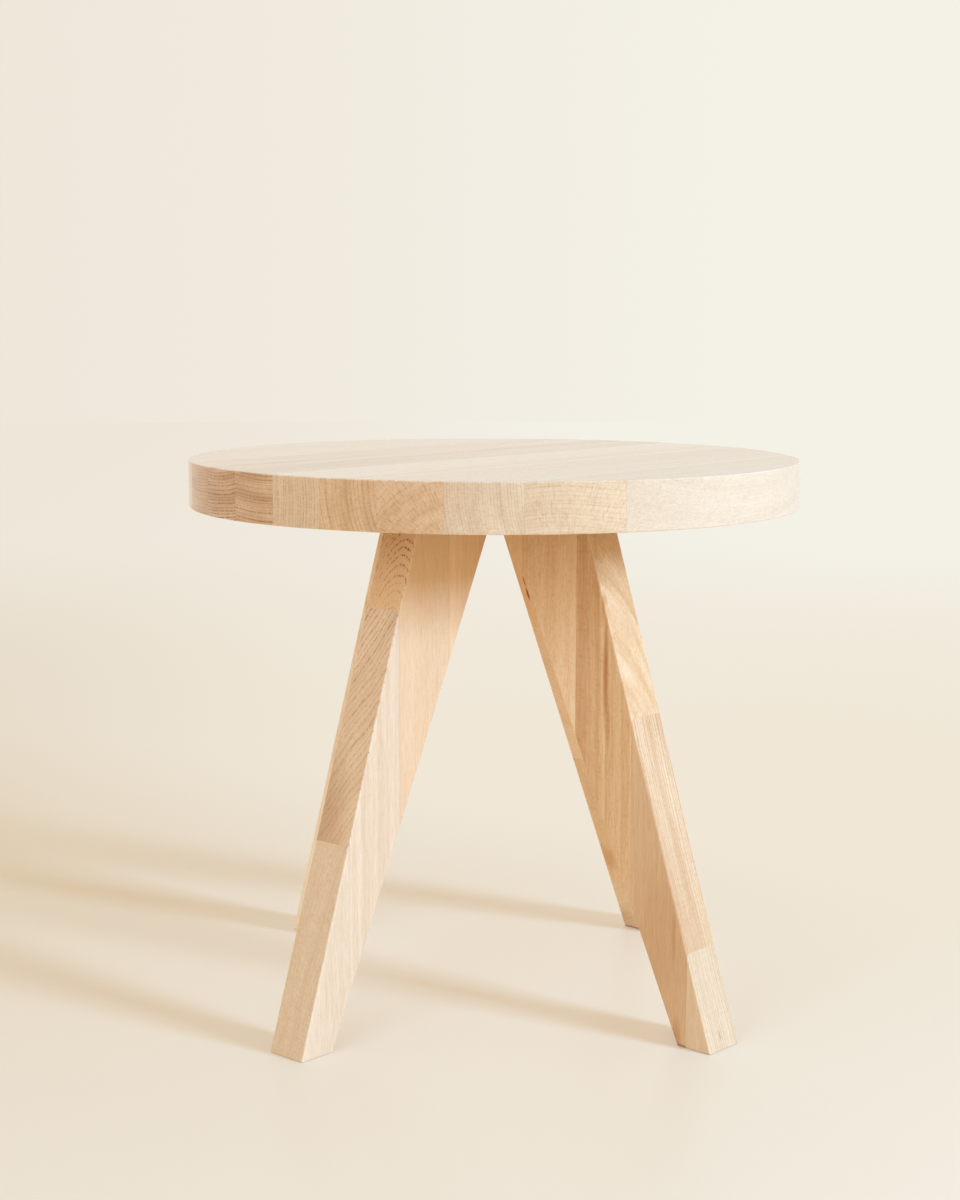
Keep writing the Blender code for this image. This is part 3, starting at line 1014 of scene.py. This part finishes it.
class PLANTTABLE_OT_stage(bpy.types.Operator):
    """Sets up the floor, the background, the lamps and the camera"""

    bl_idname = "plant_table.stage"
    bl_label = "Studio"

    def execute(self, context):
        looks = context.scene.plant_table.studio
        context.scene.view_settings.view_transform = "Standard"
        self.floor(looks)
        self.background(looks)
        for facts in LAMPS:
            self.lamp(facts)
        self.camera(looks)
        return {"FINISHED"}

    def seen_by_camera_or_gloss(self, tree):
        """1 for rays that show the stage, straight or in a reflection, and 0 for its light."""
        ray = add(tree, "ShaderNodeLightPath").outputs
        straight = add(
            tree,
            "ShaderNodeMath",
            {0: ray["Is Camera Ray"], 1: ray["Is Transmission Ray"]},
            operation="MAXIMUM",
        ).outputs["Value"]
        return add(
            tree, "ShaderNodeMath", {0: straight, 1: ray["Is Glossy Ray"]}, operation="MAXIMUM"
        ).outputs["Value"]

    def brighter_right(self, tree, place, turn, left, right):
        """One colour on the left and one on the right, with a smooth turn between."""
        rightness = add(
            tree,
            "ShaderNodeMapRange",
            {"Value": place["X"], "From Min": turn[0], "From Max": turn[1]},
            interpolation_type="SMOOTHSTEP",
        ).outputs["Result"]
        return add(
            tree, "ShaderNodeMix", {0: rightness, MIX_A: left, MIX_B: right}, data_type="RGBA"
        ).outputs[MIX_RESULT]

    def floor(self, looks):
        """Painted board, satin: it shows soft shadows and the faintest mirror of the feet.
        Some way off it runs into the background, as a sweep of studio paper does, and under the
        table a little of that glow is painted over the shade."""
        bpy.ops.mesh.primitive_circle_add(vertices=128, radius=FLOOR_RADIUS, fill_type="NGON")
        floor = added("studio_floor")
        bpy.ops.transform.translate(value=(0, 0, -FLOOR_ROOM))
        bpy.ops.object.transform_apply()
        material, tree = new_material("satin_painted_board")
        place = add(tree, "ShaderNodeTexCoord").outputs["Object"]
        spot = add(tree, "ShaderNodeSeparateXYZ", {"Vector": place}).outputs
        behind = add(
            tree,
            "ShaderNodeVectorMath",
            {0: place, 1: BEHIND},
            operation="DOT_PRODUCT",
        ).outputs["Value"]
        fade = add(
            tree,
            "ShaderNodeMapRange",
            {"Value": behind, "From Min": BEHIND_START, "From Max": BEHIND_END},
            interpolation_type="SMOOTHSTEP",
        ).outputs["Result"]
        inwards = add(tree, "ShaderNodeVectorMath", {0: place}, operation="LENGTH").outputs["Value"]
        # Painted light: the paper's glow mixed in under the table, lifting its shade
        painted_fill = add(
            tree,
            "ShaderNodeMapRange",
            {
                "Value": inwards,
                "From Min": PAINTED_FILL_START,
                "From Max": PAINTED_FILL_END,
                "To Min": PAINTED_FILL_SHARE,
                "To Max": 0.0,
            },
            interpolation_type="SMOOTHSTEP",
        ).outputs["Result"]
        away = add(
            tree, "ShaderNodeVectorMath", {0: place, 1: SHADOW_MIDDLE}, operation="DISTANCE"
        ).outputs["Value"]
        outside = add(
            tree,
            "ShaderNodeMapRange",
            {"Value": away, "From Min": OUTSIDE_START, "From Max": OUTSIDE_END},
            interpolation_type="SMOOTHSTEP",
        ).outputs["Result"]
        for other in (painted_fill, outside):
            fade = add(
                tree, "ShaderNodeMath", {0: fade, 1: other}, operation="MAXIMUM"
            ).outputs["Value"]
        seen = self.seen_by_camera_or_gloss(tree)
        share = add(tree, "ShaderNodeMath", {0: fade, 1: seen}, operation="MULTIPLY")
        paint = add(
            tree,
            "ShaderNodeMix",
            {0: seen, MIX_A: looks.bounce, MIX_B: looks.floor},
            data_type="RGBA",
        ).outputs[MIX_RESULT]
        board = add(
            tree,
            "ShaderNodeBsdfPrincipled",
            {"Base Color": paint, "Roughness": 0.38, "IOR": 1.35},
        ).outputs["BSDF"]
        near_paper = self.brighter_right(tree, spot, NEAR_TURN, looks.sweep_left, looks.sweep)
        far_paper = self.brighter_right(tree, spot, FAR_TURN, looks.wall_left, looks.wall)
        run = add(tree, "ShaderNodeMath", {0: spot["Y"], 1: away}, operation="MAXIMUM")
        climb = add(
            tree,
            "ShaderNodeMapRange",
            {"Value": run.outputs["Value"], "From Min": CLIMB_START, "From Max": CLIMB_END},
            interpolation_type="SMOOTHSTEP",
        ).outputs["Result"]
        tint = add(
            tree, "ShaderNodeMix", {0: climb, MIX_A: near_paper, MIX_B: far_paper}, data_type="RGBA"
        ).outputs[MIX_RESULT]
        paper = add(tree, "ShaderNodeEmission", {"Color": tint}).outputs["Emission"]
        shader = add(
            tree, "ShaderNodeMixShader", {0: share.outputs["Value"], 1: board, 2: paper}
        ).outputs["Shader"]
        add(tree, "ShaderNodeOutputMaterial", {"Surface": shader})
        floor.data.materials.append(material)

    def background(self, looks):
        """Warm white all round: what the camera and gloss see, and a dimmer, warmer fill."""
        world = bpy.data.worlds.new("studio_background")
        world.use_nodes = True
        tree = world.node_tree
        tree.nodes.clear()
        way = add(
            tree,
            "ShaderNodeSeparateXYZ",
            {"Vector": add(tree, "ShaderNodeTexCoord").outputs["Generated"]},
        ).outputs
        shown = self.brighter_right(tree, way, WALL_TURN, looks.wall_left, looks.wall)
        seen = add(tree, "ShaderNodeBackground", {"Color": shown}).outputs["Background"]
        level = add(
            tree,
            "ShaderNodeMapRange",
            {
                "Value": way["Z"],
                "From Min": LOW_WAY,
                "From Max": OVERHEAD_WAY,
                "To Min": FILL_LOW,
                "To Max": FILL_OVERHEAD,
            },
            interpolation_type="SMOOTHSTEP",
        ).outputs["Result"]
        fill = add(
            tree, "ShaderNodeBackground", {"Color": FILL_COLOUR, "Strength": level}
        ).outputs["Background"]
        looking = self.seen_by_camera_or_gloss(tree)
        both = add(tree, "ShaderNodeMixShader", {0: looking, 1: fill, 2: seen}).outputs["Shader"]
        add(tree, "ShaderNodeOutputWorld", {"Surface": both})
        bpy.context.scene.world = world

    def lamp(self, facts):
        """Hangs a softbox and aims it at the table's middle."""
        aim = (cad_low + cad_high) / 2
        data = bpy.data.lights.new(facts.name, "AREA")
        data.shape, data.size = "SQUARE", facts.size
        data.energy, data.color = facts.watts, facts.tint
        lamp = bpy.data.objects.new(facts.name, data)
        turn, lift = math.radians(facts.compass), math.radians(facts.rise)
        way = Vector(
            (math.cos(turn) * math.cos(lift), math.sin(turn) * math.cos(lift), math.sin(lift))
        )
        lamp.location = aim + facts.away * way
        lamp.rotation_euler = way.to_track_quat("Z", "Y").to_euler()
        # Seen from behind, a lamp mirrored in the top and the floor would bleach both
        lamp.visible_glossy = False
        bpy.context.scene.collection.objects.link(lamp)

    def camera(self, looks):
        """The viewpoint of the photograph, a little above the top and almost square on."""
        data = bpy.data.cameras.new("camera")
        data.lens, data.sensor_width, data.sensor_fit = looks.lens, 36, "AUTO"
        camera = bpy.data.objects.new("camera", data)
        heading, pitch, roll = (math.radians(turn) for turn in CAMERA_TURNS)
        turn = Matrix.Rotation(heading, 4, "Z") @ Matrix.Rotation(pitch, 4, "X")
        camera.matrix_world = (
            Matrix.Translation(CAMERA_PLACE) @ turn @ Matrix.Rotation(roll, 4, "Z")
        )
        bpy.context.scene.collection.objects.link(camera)
        bpy.context.scene.camera = camera


class PLANTTABLE_PT_panel(bpy.types.Panel):
    """Lists the table's steps in the sidebar"""

    bl_idname = "PLANTTABLE_PT_panel"
    bl_label = "Plant Table"
    bl_space_type = "VIEW_3D"
    bl_region_type = "UI"
    bl_category = "Plant Table"

    def draw(self, context):
        looks = context.scene.plant_table
        for group in ("top", "legs", "dowels", "beech", "studio"):
            box = self.layout.box()
            box.label(text=group.capitalize())
            settings = getattr(looks, group)
            for name in settings.__annotations__:
                box.prop(settings, name)
        for operator in OPERATORS:
            self.layout.operator(operator.bl_idname)


OPERATORS = (
    PLANTTABLE_OT_top,
    PLANTTABLE_OT_legs,
    PLANTTABLE_OT_dowels,
    PLANTTABLE_OT_stage,
)
CLASSES = (
    PLANTTABLE_PG_top,
    PLANTTABLE_PG_legs,
    PLANTTABLE_PG_dowels,
    PLANTTABLE_PG_beech,
    PLANTTABLE_PG_studio,
    PlantTableLooks,
    *OPERATORS,
    PLANTTABLE_PT_panel,
)


def register():
    for new_class in CLASSES:
        bpy.utils.register_class(new_class)
    bpy.types.Scene.plant_table = bpy.props.PointerProperty(type=PlantTableLooks)


def unregister():
    del bpy.types.Scene.plant_table
    for old_class in reversed(CLASSES):
        bpy.utils.unregister_class(old_class)


def main():
    register()
    # A new file's own objects
    for thing in [o for o in bpy.data.objects if o.name in ("Cube", "Light", "Camera")]:
        bpy.data.objects.remove(thing)
    bpy.ops.plant_table.top()
    bpy.ops.plant_table.legs()
    bpy.ops.plant_table.dowels()
    bpy.ops.plant_table.stage()


if __name__ == "__main__":
    main()
